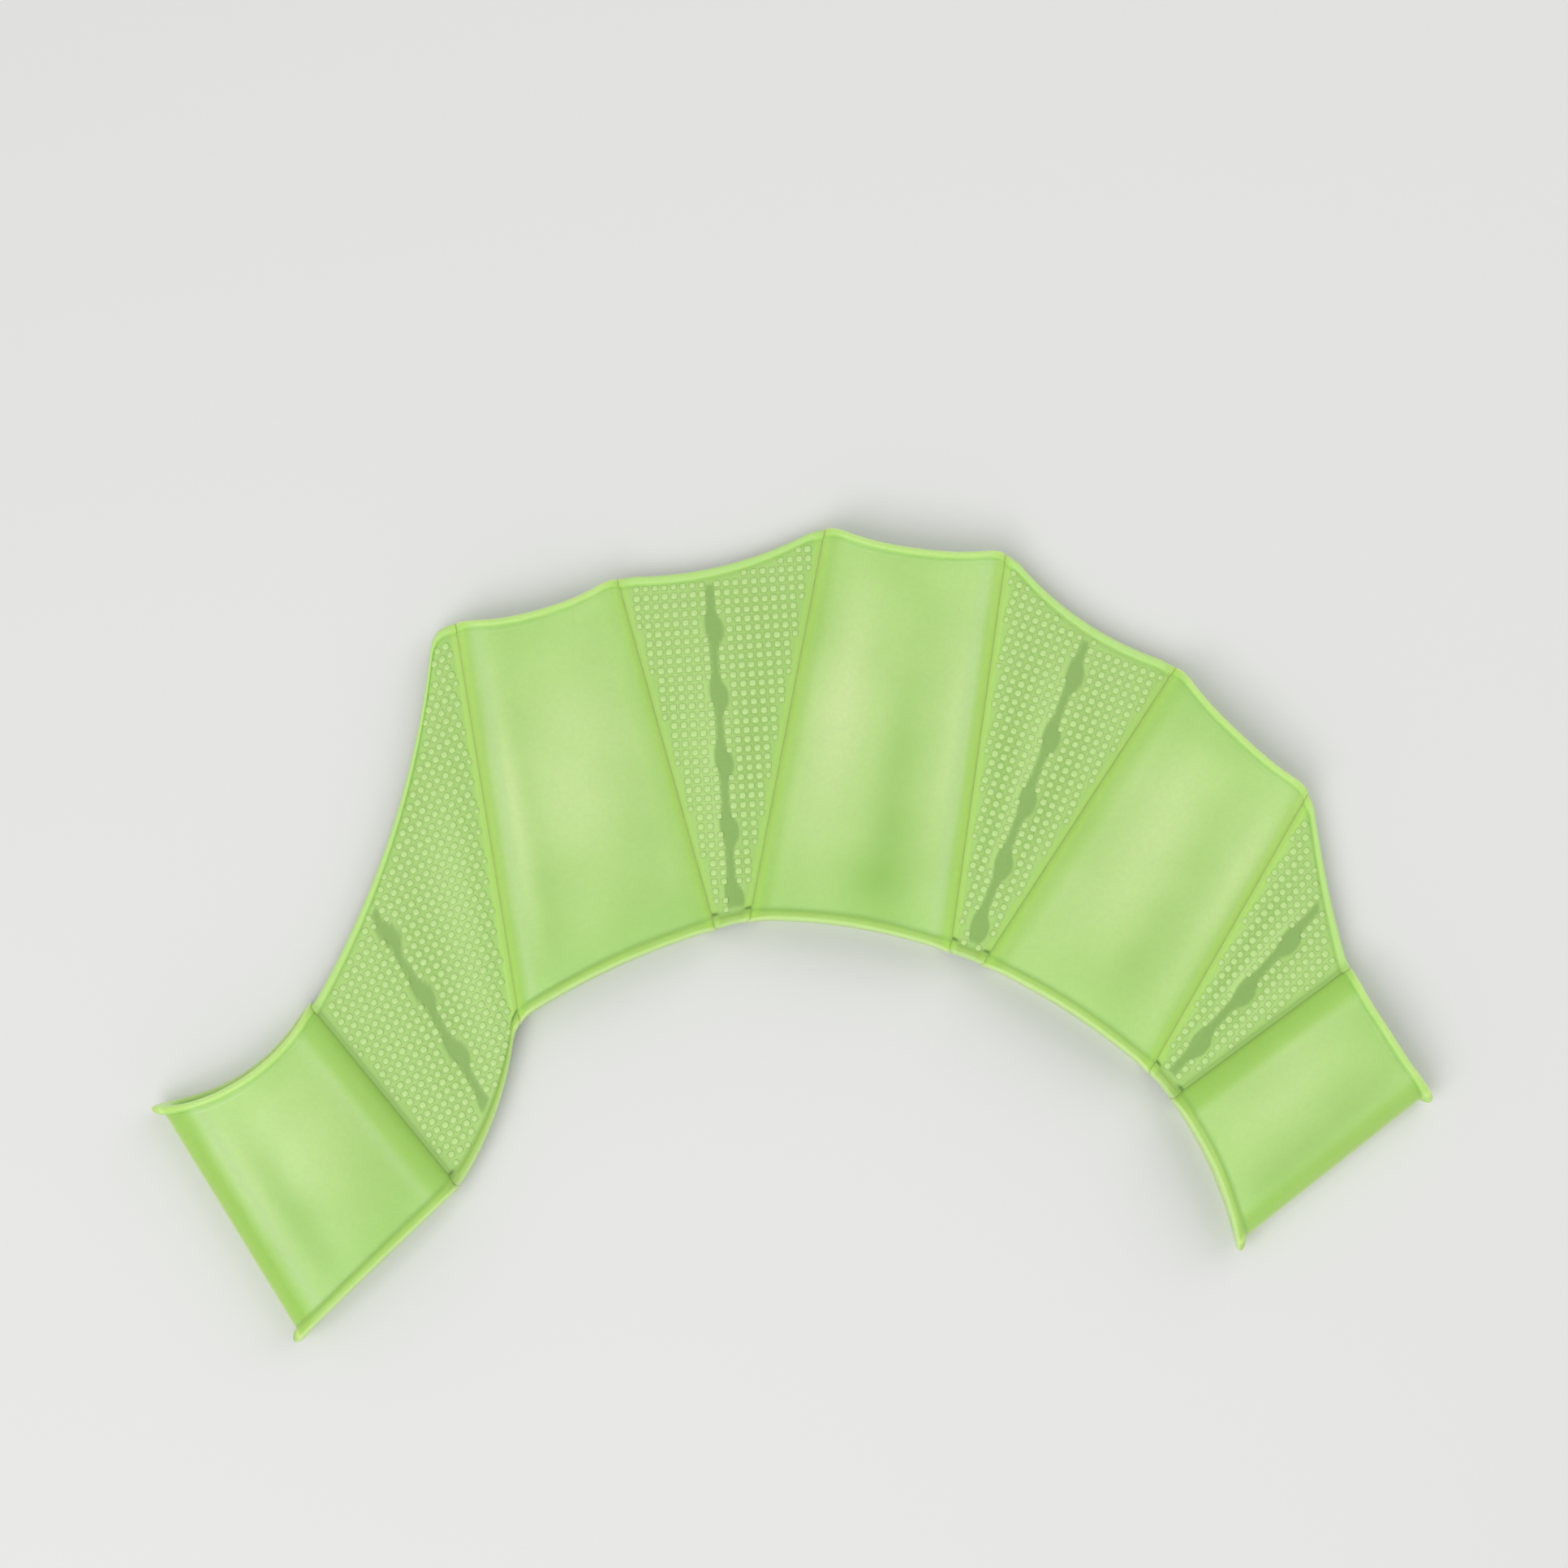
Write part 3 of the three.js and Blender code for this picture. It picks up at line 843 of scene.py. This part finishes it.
# %% [markdown]
# ## Nodes by hand
# Both the dots and the finishes are node trees. One small helper adds a node, sets it up and joins
# its inputs, so that a tree reads as a list of steps. Two more are short forms for the nodes that
# come up most, a sum and a vector.


# %% Helpers for node trees
def add_node(tree, kind, inputs=None, **settings):
    node = tree.nodes.new(kind)
    for setting, value in settings.items():
        setattr(node, setting, value)
    for key, value in (inputs or {}).items():
        if isinstance(value, bpy.types.NodeSocket):
            tree.links.new(value, node.inputs[key])
        else:
            node.inputs[key].default_value = value
    return node


def add_math(tree, operation, first, second=0.0, third=0.0):
    node = add_node(tree, "ShaderNodeMath", {0: first, 1: second, 2: third}, operation=operation)
    return node.outputs[0]


def add_vector(tree, x=0.0, y=0.0, z=0.0):
    return add_node(tree, "ShaderNodeCombineXYZ", {0: x, 1: y, 2: z}).outputs[0]


# %% [markdown]
# ## The silicone
# Silicone of this kind is soft, a little milky and dyed through. Light enters it, scatters and
# comes out nearby, which subsurface scattering gives, and its skin is satin. Glass with a volume
# inside would be nearer to the physics, but it is slow and noisy on walls as thin as these. The
# colours are mixed in layers, each laid over the last where its painted attribute is strong.

# %% Colours of the silicone
def linear(red, green, blue):
    srgb = np.array([red, green, blue]) / 255
    return (*np.where(srgb <= 0.04045, srgb / 12.92, ((srgb + 0.055) / 1.055) ** 2.4), 1.0)


# Among these colours, the pale strip, the edge, the line and the glow are painted highlights, and
# the groove and the pit are painted shade.
MILKY_LIME = linear(214, 244, 168)
SOFT_LIME = linear(156, 202, 96)
DEEP_LIME = linear(164, 208, 92)
HIGHLIGHT_LIME = linear(192, 224, 158)
RIM_LIME = linear(194, 234, 138)
HEM_LIME = linear(170, 205, 106)
EDGE_HIGHLIGHT_LIME = linear(214, 246, 170)
LIGHT_LINE_LIME = linear(196, 240, 122)
PAINTED_GLOW_LIME = linear(226, 254, 158)
GROOVE_SHADE_LIME = linear(138, 180, 92)
PIT_SHADE_GREEN = linear(104, 142, 62)
WEB_LIME = linear(190, 226, 138)
DEEP_WEB_LIME = linear(166, 206, 112)
LANE_LIME = linear(140, 178, 94)
DOT_LIME = linear(196, 232, 148)


# %% Layers of colour
def mix_colours(tree, factor, below, above):
    node = add_node(tree, "ShaderNodeMix", {0: factor, 6: below, 7: above}, data_type="RGBA")
    return node.outputs[2]


def painted(tree, name, amount):
    value = add_node(tree, "ShaderNodeAttribute", attribute_name=name).outputs["Fac"]
    strength = add_math(tree, "MULTIPLY", value, amount)
    strength.node.use_clamp = True
    return strength


def cloudiness(tree, per_metre, spread):
    place = add_node(tree, "ShaderNodeTexCoord").outputs["Object"]
    noise = add_node(tree, "ShaderNodeTexNoise", {"Vector": place, "Scale": per_metre})
    return add_node(tree, "ShaderNodeMapRange", {
        "Value": noise.outputs[0], "From Min": 0.5 - spread, "From Max": 0.5 + spread}).outputs[0]


# %% [markdown]
# Under the layers the front drifts between milky and soft lime, in faint clouds and by the tone of
# its ridges and ripples, which is partly the milk of the silicone and partly painted light and
# painted shade, with a painted highlight in the sleeves' belt. A fine grain, a very low bump and a
# slow change of gloss keep it from looking like paint.

# %% Finish of a silicone piece
CLOUDS = dict(per_metre=45, spread=0.15)
GRAIN = dict(per_metre=1400, spread=0.2)
BUMPS = dict(per_metre=2600, spread=0.3)
GLOSS = dict(per_metre=160, spread=0.2)
CLOUD_MILK = 0.25
TONE_MILK = 0.55
LEAST_MILK = 0.33
GRAIN_STRENGTH = 0.10
BUMP_STRENGTH = 0.12
BUMP_HEIGHT = 0.1 * MM
ROUGHNESS = (0.38, 0.50)
SCATTER_RADIUS = (0.8, 1.0, 0.45)


def silicone(name, front, front_deep, layers, depth, share):
    material = bpy.data.materials.new(name)
    material.use_nodes = True
    tree = material.node_tree
    shader = tree.nodes["Principled BSDF"]
    tone = add_node(tree, "ShaderNodeAttribute", attribute_name="tone").outputs["Fac"]
    clouded = add_math(tree, "MULTIPLY_ADD", cloudiness(tree, **CLOUDS), CLOUD_MILK, LEAST_MILK)
    milk_and_shade = add_math(tree, "MULTIPLY_ADD", tone, TONE_MILK, clouded)
    milk_and_shade.node.use_clamp = True
    colour = mix_colours(tree, milk_and_shade, front_deep, front)
    for paint, amount, layer_colour in layers:
        colour = mix_colours(tree, painted(tree, paint, amount), colour, layer_colour)
    grain = add_math(tree, "MULTIPLY", cloudiness(tree, **GRAIN), GRAIN_STRENGTH)
    colour = mix_colours(tree, grain, colour, front_deep)
    tree.links.new(colour, shader.inputs["Base Color"])
    bump = add_node(tree, "ShaderNodeBump", {
        "Height": cloudiness(tree, **BUMPS), "Strength": BUMP_STRENGTH, "Distance": BUMP_HEIGHT})
    tree.links.new(bump.outputs[0], shader.inputs["Normal"])
    rough = add_node(tree, "ShaderNodeMapRange", {
        "Value": cloudiness(tree, **GLOSS), "To Min": ROUGHNESS[0], "To Max": ROUGHNESS[1]})
    tree.links.new(rough.outputs[0], shader.inputs["Roughness"])
    shader.inputs["Subsurface Weight"].default_value = share
    shader.inputs["Subsurface Radius"].default_value = SCATTER_RADIUS
    shader.inputs["Subsurface Scale"].default_value = depth
    return material


# The pale strip, the bright line, the glow and the edge layers are painted highlights, and the
# groove layer is painted shade.
sleeve_finish = silicone("sleeve_silicone_finish", MILKY_LIME, SOFT_LIME, [
    ("deep", 0.85, DEEP_LIME),
    ("highlight_strip", 0.6, HIGHLIGHT_LIME),
    ("bead", 0.7, RIM_LIME),
    ("hem", 0.8, HEM_LIME),
    ("light_line", 0.9, LIGHT_LINE_LIME),
    ("painted_glow", 0.9, PAINTED_GLOW_LIME),
    ("groove", 0.16, GROOVE_SHADE_LIME),
    ("edge", 0.7, EDGE_HIGHLIGHT_LIME),
], depth=2.5 * MM, share=0.9)
# The crease, the groove and the pit layers are painted shade, and the line and the edge layers are
# painted highlights.
web_finish = silicone("web_silicone_finish", WEB_LIME, DEEP_WEB_LIME, [
    ("lane", 0.9, LANE_LIME),
    ("relief", 1.0, DOT_LIME),
    ("crease_shade", 0.6, GROOVE_SHADE_LIME),
    ("bead", 0.8, RIM_LIME),
    ("hem", 0.9, HEM_LIME),
    ("light_line", 0.8, LIGHT_LINE_LIME),
    ("groove", 0.45, GROOVE_SHADE_LIME),
    ("edge", 0.7, EDGE_HIGHLIGHT_LIME),
    ("pit", 1.0, PIT_SHADE_GREEN),
], depth=0.8 * MM, share=0.35)
print("finishes:", sleeve_finish.name, web_finish.name)

# %% [markdown]
# ## The moulded dots
# Both faces of each web carry a square grid of small raised dots, in line with the lane. They could
# be a bump in the finish, but real relief catches the light at the rims.
# Geometry Nodes lay a flat grid, drop each point onto the membrane with a raycast, read the room
# that is left there and set a dot on it. A dot that stands too near the lane or a rim is left out,
# and one that is only short of room is smaller. Each dot is a low cone with eight sides, bulged
# halfway up and pulled out at four corners, and sunk a little so that no gap shows under it.

# %% Sizes of the dots
DOT_PITCH = 1.40 * MM
DOT_WIDTH = 1.08 * MM
DOT_TOP = 0.74
DOT_BULGE = 0.6
DOT_CORNERS = 0.16
LANE_GAP = 2.3 * MM
DOT_HEIGHT = 0.30 * MM
DOT_SINK = 0.05 * MM
DOT_SIDES = 8
DOT_VARIATION = 0.05
SMALLEST_DOT = 0.85
LEAST_ROOM = 0.1
GRID_REACH = 104 * MM

DOT_INPUTS = [
    ("Pitch", "NodeSocketFloat", DOT_PITCH),
    ("Lane Gap", "NodeSocketFloat", LANE_GAP),
    ("Dot Width", "NodeSocketFloat", DOT_WIDTH),
    ("Dot Height", "NodeSocketFloat", DOT_HEIGHT),
    ("Rows", "NodeSocketInt", 2 * int(GRID_REACH / DOT_PITCH / 2)),
    ("Turn", "NodeSocketFloat", 0.0),
    ("Centre", "NodeSocketVector", (0.0, 0.0, 0.0)),
    ("Seed", "NodeSocketInt", 3),
    ("Finish", "NodeSocketMaterial", None),
]


# %% Shape of a dot
def add_dot_shape(tree, given):
    cone = add_node(tree, "GeometryNodeMeshCone", {
        "Vertices": DOT_SIDES, "Side Segments": 2, "Depth": given["Dot Height"],
        "Radius Top": add_math(tree, "MULTIPLY", given["Dot Width"], DOT_TOP / 2),
        "Radius Bottom": add_math(tree, "MULTIPLY", given["Dot Width"], 0.5)})
    place = add_node(tree, "GeometryNodeInputPosition").outputs[0]
    x, y, z = add_node(tree, "ShaderNodeSeparateXYZ", {0: place}).outputs
    level = add_math(tree, "DIVIDE", z, given["Dot Height"])
    rounding = add_math(tree, "MULTIPLY", level, add_math(tree, "SUBTRACT", 1.0, level))
    bulge = add_math(tree, "MULTIPLY_ADD", rounding, DOT_BULGE, 1.0)
    flat = add_vector(tree, x, y)
    radius = add_node(tree, "ShaderNodeVectorMath", {0: flat}, operation="LENGTH").outputs["Value"]
    product = add_math(tree, "ABSOLUTE", add_math(tree, "MULTIPLY", x, y))
    corner = add_math(tree, "DIVIDE", product, add_math(tree, "MULTIPLY", radius, radius))
    square = add_math(tree, "MULTIPLY_ADD", corner, 2 * DOT_CORNERS, 1.0)
    factor = add_math(tree, "MULTIPLY", square, bulge)
    wide = [add_math(tree, "MULTIPLY", axis, factor) for axis in (x, y)]
    return add_node(tree, "GeometryNodeSetPosition", {
        "Geometry": cone.outputs[0], "Position": add_vector(tree, *wide, z)}).outputs[0]


# %% A flat grid, parted by the lane and turned in line with it
def lay_grid(tree, given):
    gaps = add_math(tree, "SUBTRACT", given["Rows"], 1.0)
    size = add_math(tree, "MULTIPLY", given["Pitch"], gaps)
    grid = add_node(tree, "GeometryNodeMeshGrid", {
        "Size X": size, "Size Y": size, "Vertices X": given["Rows"], "Vertices Y": given["Rows"]})
    place = add_node(tree, "GeometryNodeInputPosition").outputs[0]
    side = add_math(tree, "SIGN", add_node(tree, "ShaderNodeSeparateXYZ", {0: place}).outputs[0])
    widening = add_math(tree, "SUBTRACT", given["Lane Gap"], given["Pitch"])
    aside = add_math(tree, "MULTIPLY", side, add_math(tree, "MULTIPLY", widening, 0.5))
    parted = add_node(tree, "GeometryNodeSetPosition", {
        "Geometry": grid.outputs[0], "Offset": add_vector(tree, aside)})
    return add_node(tree, "GeometryNodeTransform", {
        "Geometry": parted.outputs[0], "Rotation": add_vector(tree, z=given["Turn"]),
        "Translation": given["Centre"]}).outputs[0]


# %% Its points dropped onto a face of the membrane
def read_number(tree, name):
    return add_node(tree, "GeometryNodeInputNamedAttribute", {"Name": name}).outputs[0]


def add_offset(tree, place, offset):
    return add_node(tree, "ShaderNodeVectorMath", {0: place, 1: offset}).outputs[0]


def drop_on_membrane(tree, given, points, face):
    place = add_node(tree, "GeometryNodeInputPosition").outputs[0]
    ray = add_node(tree, "GeometryNodeRaycast", {
        "Target Geometry": given["Membrane"], "Attribute": read_number(tree, "room"),
        "Source Position": add_offset(tree, place, (0, 0, face * SLEEVE_HEIGHT)),
        "Ray Direction": (0, 0, -face), "Ray Length": 2 * SLEEVE_HEIGHT})
    radius = add_math(tree, "MULTIPLY", given["Dot Width"], 0.5)
    share = add_math(tree, "DIVIDE", ray.outputs["Attribute"], radius)
    measured = add_node(tree, "GeometryNodeStoreNamedAttribute", {
        "Geometry": points, "Name": "dot_share",
        "Value": add_math(tree, "MULTIPLY", share, ray.outputs["Is Hit"])})
    seat = add_offset(tree, ray.outputs["Hit Position"], (0, 0, -face * DOT_SINK))
    return add_node(tree, "GeometryNodeSetPosition", {
        "Geometry": measured.outputs[0], "Position": seat}).outputs[0]


# %% One face of dots
def add_dot_face(tree, given, dot, face):
    points = drop_on_membrane(tree, given, lay_grid(tree, given), face)
    share = read_number(tree, "dot_share")
    crowded = add_math(tree, "LESS_THAN", share, LEAST_ROOM)
    kept = add_node(tree, "GeometryNodeDeleteGeometry", {"Geometry": points, "Selection": crowded})
    vary = add_node(tree, "FunctionNodeRandomValue", {
        "Min": 1 - DOT_VARIATION, "Max": 1 + DOT_VARIATION, "Seed": given["Seed"]})
    drawn = next(socket for socket in vary.outputs if socket.enabled)
    squeezed = add_math(tree, "MAXIMUM", add_math(tree, "MINIMUM", share, 1.0), SMALLEST_DOT)
    turned_over = 0.0 if face > 0 else np.pi
    return add_node(tree, "GeometryNodeInstanceOnPoints", {
        "Points": kept.outputs[0], "Instance": dot,
        "Rotation": add_vector(tree, turned_over, z=given["Turn"]),
        "Scale": add_math(tree, "MULTIPLY", squeezed, drawn)}).outputs[0]


# %% The whole tree
def dot_tree():
    tree = bpy.data.node_groups.new("moulded_dots", "GeometryNodeTree")
    tree.interface.new_socket("Membrane", in_out="INPUT", socket_type="NodeSocketGeometry")
    tree.interface.new_socket("Membrane", in_out="OUTPUT", socket_type="NodeSocketGeometry")
    for name, kind, _ in DOT_INPUTS:
        tree.interface.new_socket(name, in_out="INPUT", socket_type=kind)
    given = tree.nodes.new("NodeGroupInput").outputs
    dot = add_dot_shape(tree, given)
    spots = add_node(tree, "GeometryNodeJoinGeometry")
    for face in (1, -1):
        tree.links.new(add_dot_face(tree, given, dot, face), spots.inputs[0])
    solid = add_node(tree, "GeometryNodeRealizeInstances", {"Geometry": spots.outputs[0]})
    raised = add_node(tree, "GeometryNodeStoreNamedAttribute", {
        "Geometry": solid.outputs[0], "Name": "relief", "Value": 1.0})
    smooth = add_node(tree, "GeometryNodeSetShadeSmooth", {"Geometry": raised.outputs[0]})
    whole = add_node(tree, "GeometryNodeJoinGeometry")
    tree.links.new(smooth.outputs[0], whole.inputs[0])
    tree.links.new(given["Membrane"], whole.inputs[0])
    realized = add_node(tree, "GeometryNodeRealizeInstances", {"Geometry": whole.outputs[0]})
    dressed = add_node(tree, "GeometryNodeSetMaterial", {
        "Geometry": realized.outputs[0], "Material": given["Finish"]})
    add_node(tree, "NodeGroupOutput", {0: dressed.outputs[0]})
    return tree


# %% [markdown]
# The tree runs as a modifier on each web, with the lane's direction and middle as its inputs. Its
# result replaces the web's mesh, so that the piece ends as plain geometry.


# %% Set the dots on the webs
def set_dots(piece, tree, values):
    modifier = piece.modifiers.new("dots", "NODES")
    modifier.node_group = tree
    for item in tree.interface.items_tree:
        if item.in_out == "INPUT" and item.name in values:
            modifier[item.identifier] = values[item.name]
    bpy.context.view_layer.update()
    evaluated = piece.evaluated_get(bpy.context.evaluated_depsgraph_get())
    mesh = bpy.data.meshes.new_from_object(evaluated)
    piece.modifiers.remove(modifier)
    old_mesh = piece.data
    piece.data = mesh
    bpy.data.meshes.remove(old_mesh)
    for spare in ("dot_share", "room"):
        if spare in mesh.attributes:
            mesh.attributes.remove(mesh.attributes[spare])


def dot_values(panel_index):
    start, direction, reach = lane_line(panel_index)
    centre = start + direction * reach / 2 + frame_shift[:2]
    values = {name: value for name, _, value in DOT_INPUTS}
    values.update(Turn=-float(np.arctan2(direction[0], direction[1])), Seed=panel_index,
                  Centre=(float(centre[0]), float(centre[1]), WEB_LEVEL), Finish=web_finish)
    return values


dots = dot_tree()
for panel_index in range(1, len(panels), 2):
    web = pieces[panels[panel_index]["name"]]
    set_dots(web, dots, dot_values(panel_index))
    print(web.name, len(web.data.polygons), "faces with its dots")

# %% [markdown]
# ## Joining the frame
# Each piece stands for its solid, which is hidden, and rides on the glove's one body. A sleeve gets
# the sleeve finish here, and a web already has the web finish from its dots.

# %% Tie the pieces to the frame
for name, piece in pieces.items():
    is_web = name.startswith("web_")
    if not is_web:
        piece.data.materials.append(sleeve_finish)
    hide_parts(name)
    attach(piece, "root")

# %% [markdown]
# ## Floor and light
# A plain pale floor and soft light from above. A large lamp a little to the front brightens the
# rounded rims, and a weaker one behind keeps the shadows open.

# %% Floor
FLOOR_HALF = 3.0
FLOOR_DROP = 0.05 * MM
FLOOR_COLOUR = (0.80, 0.80, 0.79, 1)
FLOOR_ROUGHNESS = 0.8


def add_floor():
    mesh = bpy.data.meshes.new("floor")
    turns = [(-1, -1), (1, -1), (1, 1), (-1, 1)]
    corners = [(x * FLOOR_HALF, y * FLOOR_HALF, -FLOOR_DROP) for x, y in turns]
    mesh.from_pydata(corners, [], [(0, 1, 2, 3)])
    material = bpy.data.materials.new("pale_floor")
    material.use_nodes = True
    shader = material.node_tree.nodes["Principled BSDF"]
    shader.inputs["Base Color"].default_value = FLOOR_COLOUR
    shader.inputs["Roughness"].default_value = FLOOR_ROUGHNESS
    mesh.materials.append(material)
    floor = add_object("floor", mesh)


add_floor()

# %% Lights
WORLD_STRENGTH = 0.5


def add_lamp(name, place, size, power):
    data = bpy.data.lights.new(name, "AREA")
    data.size = size
    data.energy = power
    lamp = add_object(name, data)
    lamp.location = place
    lamp.rotation_euler = (-Vector(place)).to_track_quat("-Z", "Y").to_euler()


add_lamp("key", place=(-0.25, -0.35, 0.75), size=0.6, power=3.4)
add_lamp("fill", place=(0.45, 0.35, 0.60), size=0.8, power=1.7)

world = bpy.data.worlds.new("studio")
world.use_nodes = True
background = world.node_tree.nodes["Background"]
background.inputs["Color"].default_value = (1, 1, 1, 1)
background.inputs["Strength"].default_value = WORLD_STRENGTH
bpy.context.scene.world = world

# %% [markdown]
# Blender's usual view of a scene greys bright, saturated colours to keep them inside the screen's
# range. Dyed silicone under soft light never gets that bright, so the plain view is the truer one.

# %% Plain view of the colours
bpy.context.scene.view_settings.view_transform = "Standard"
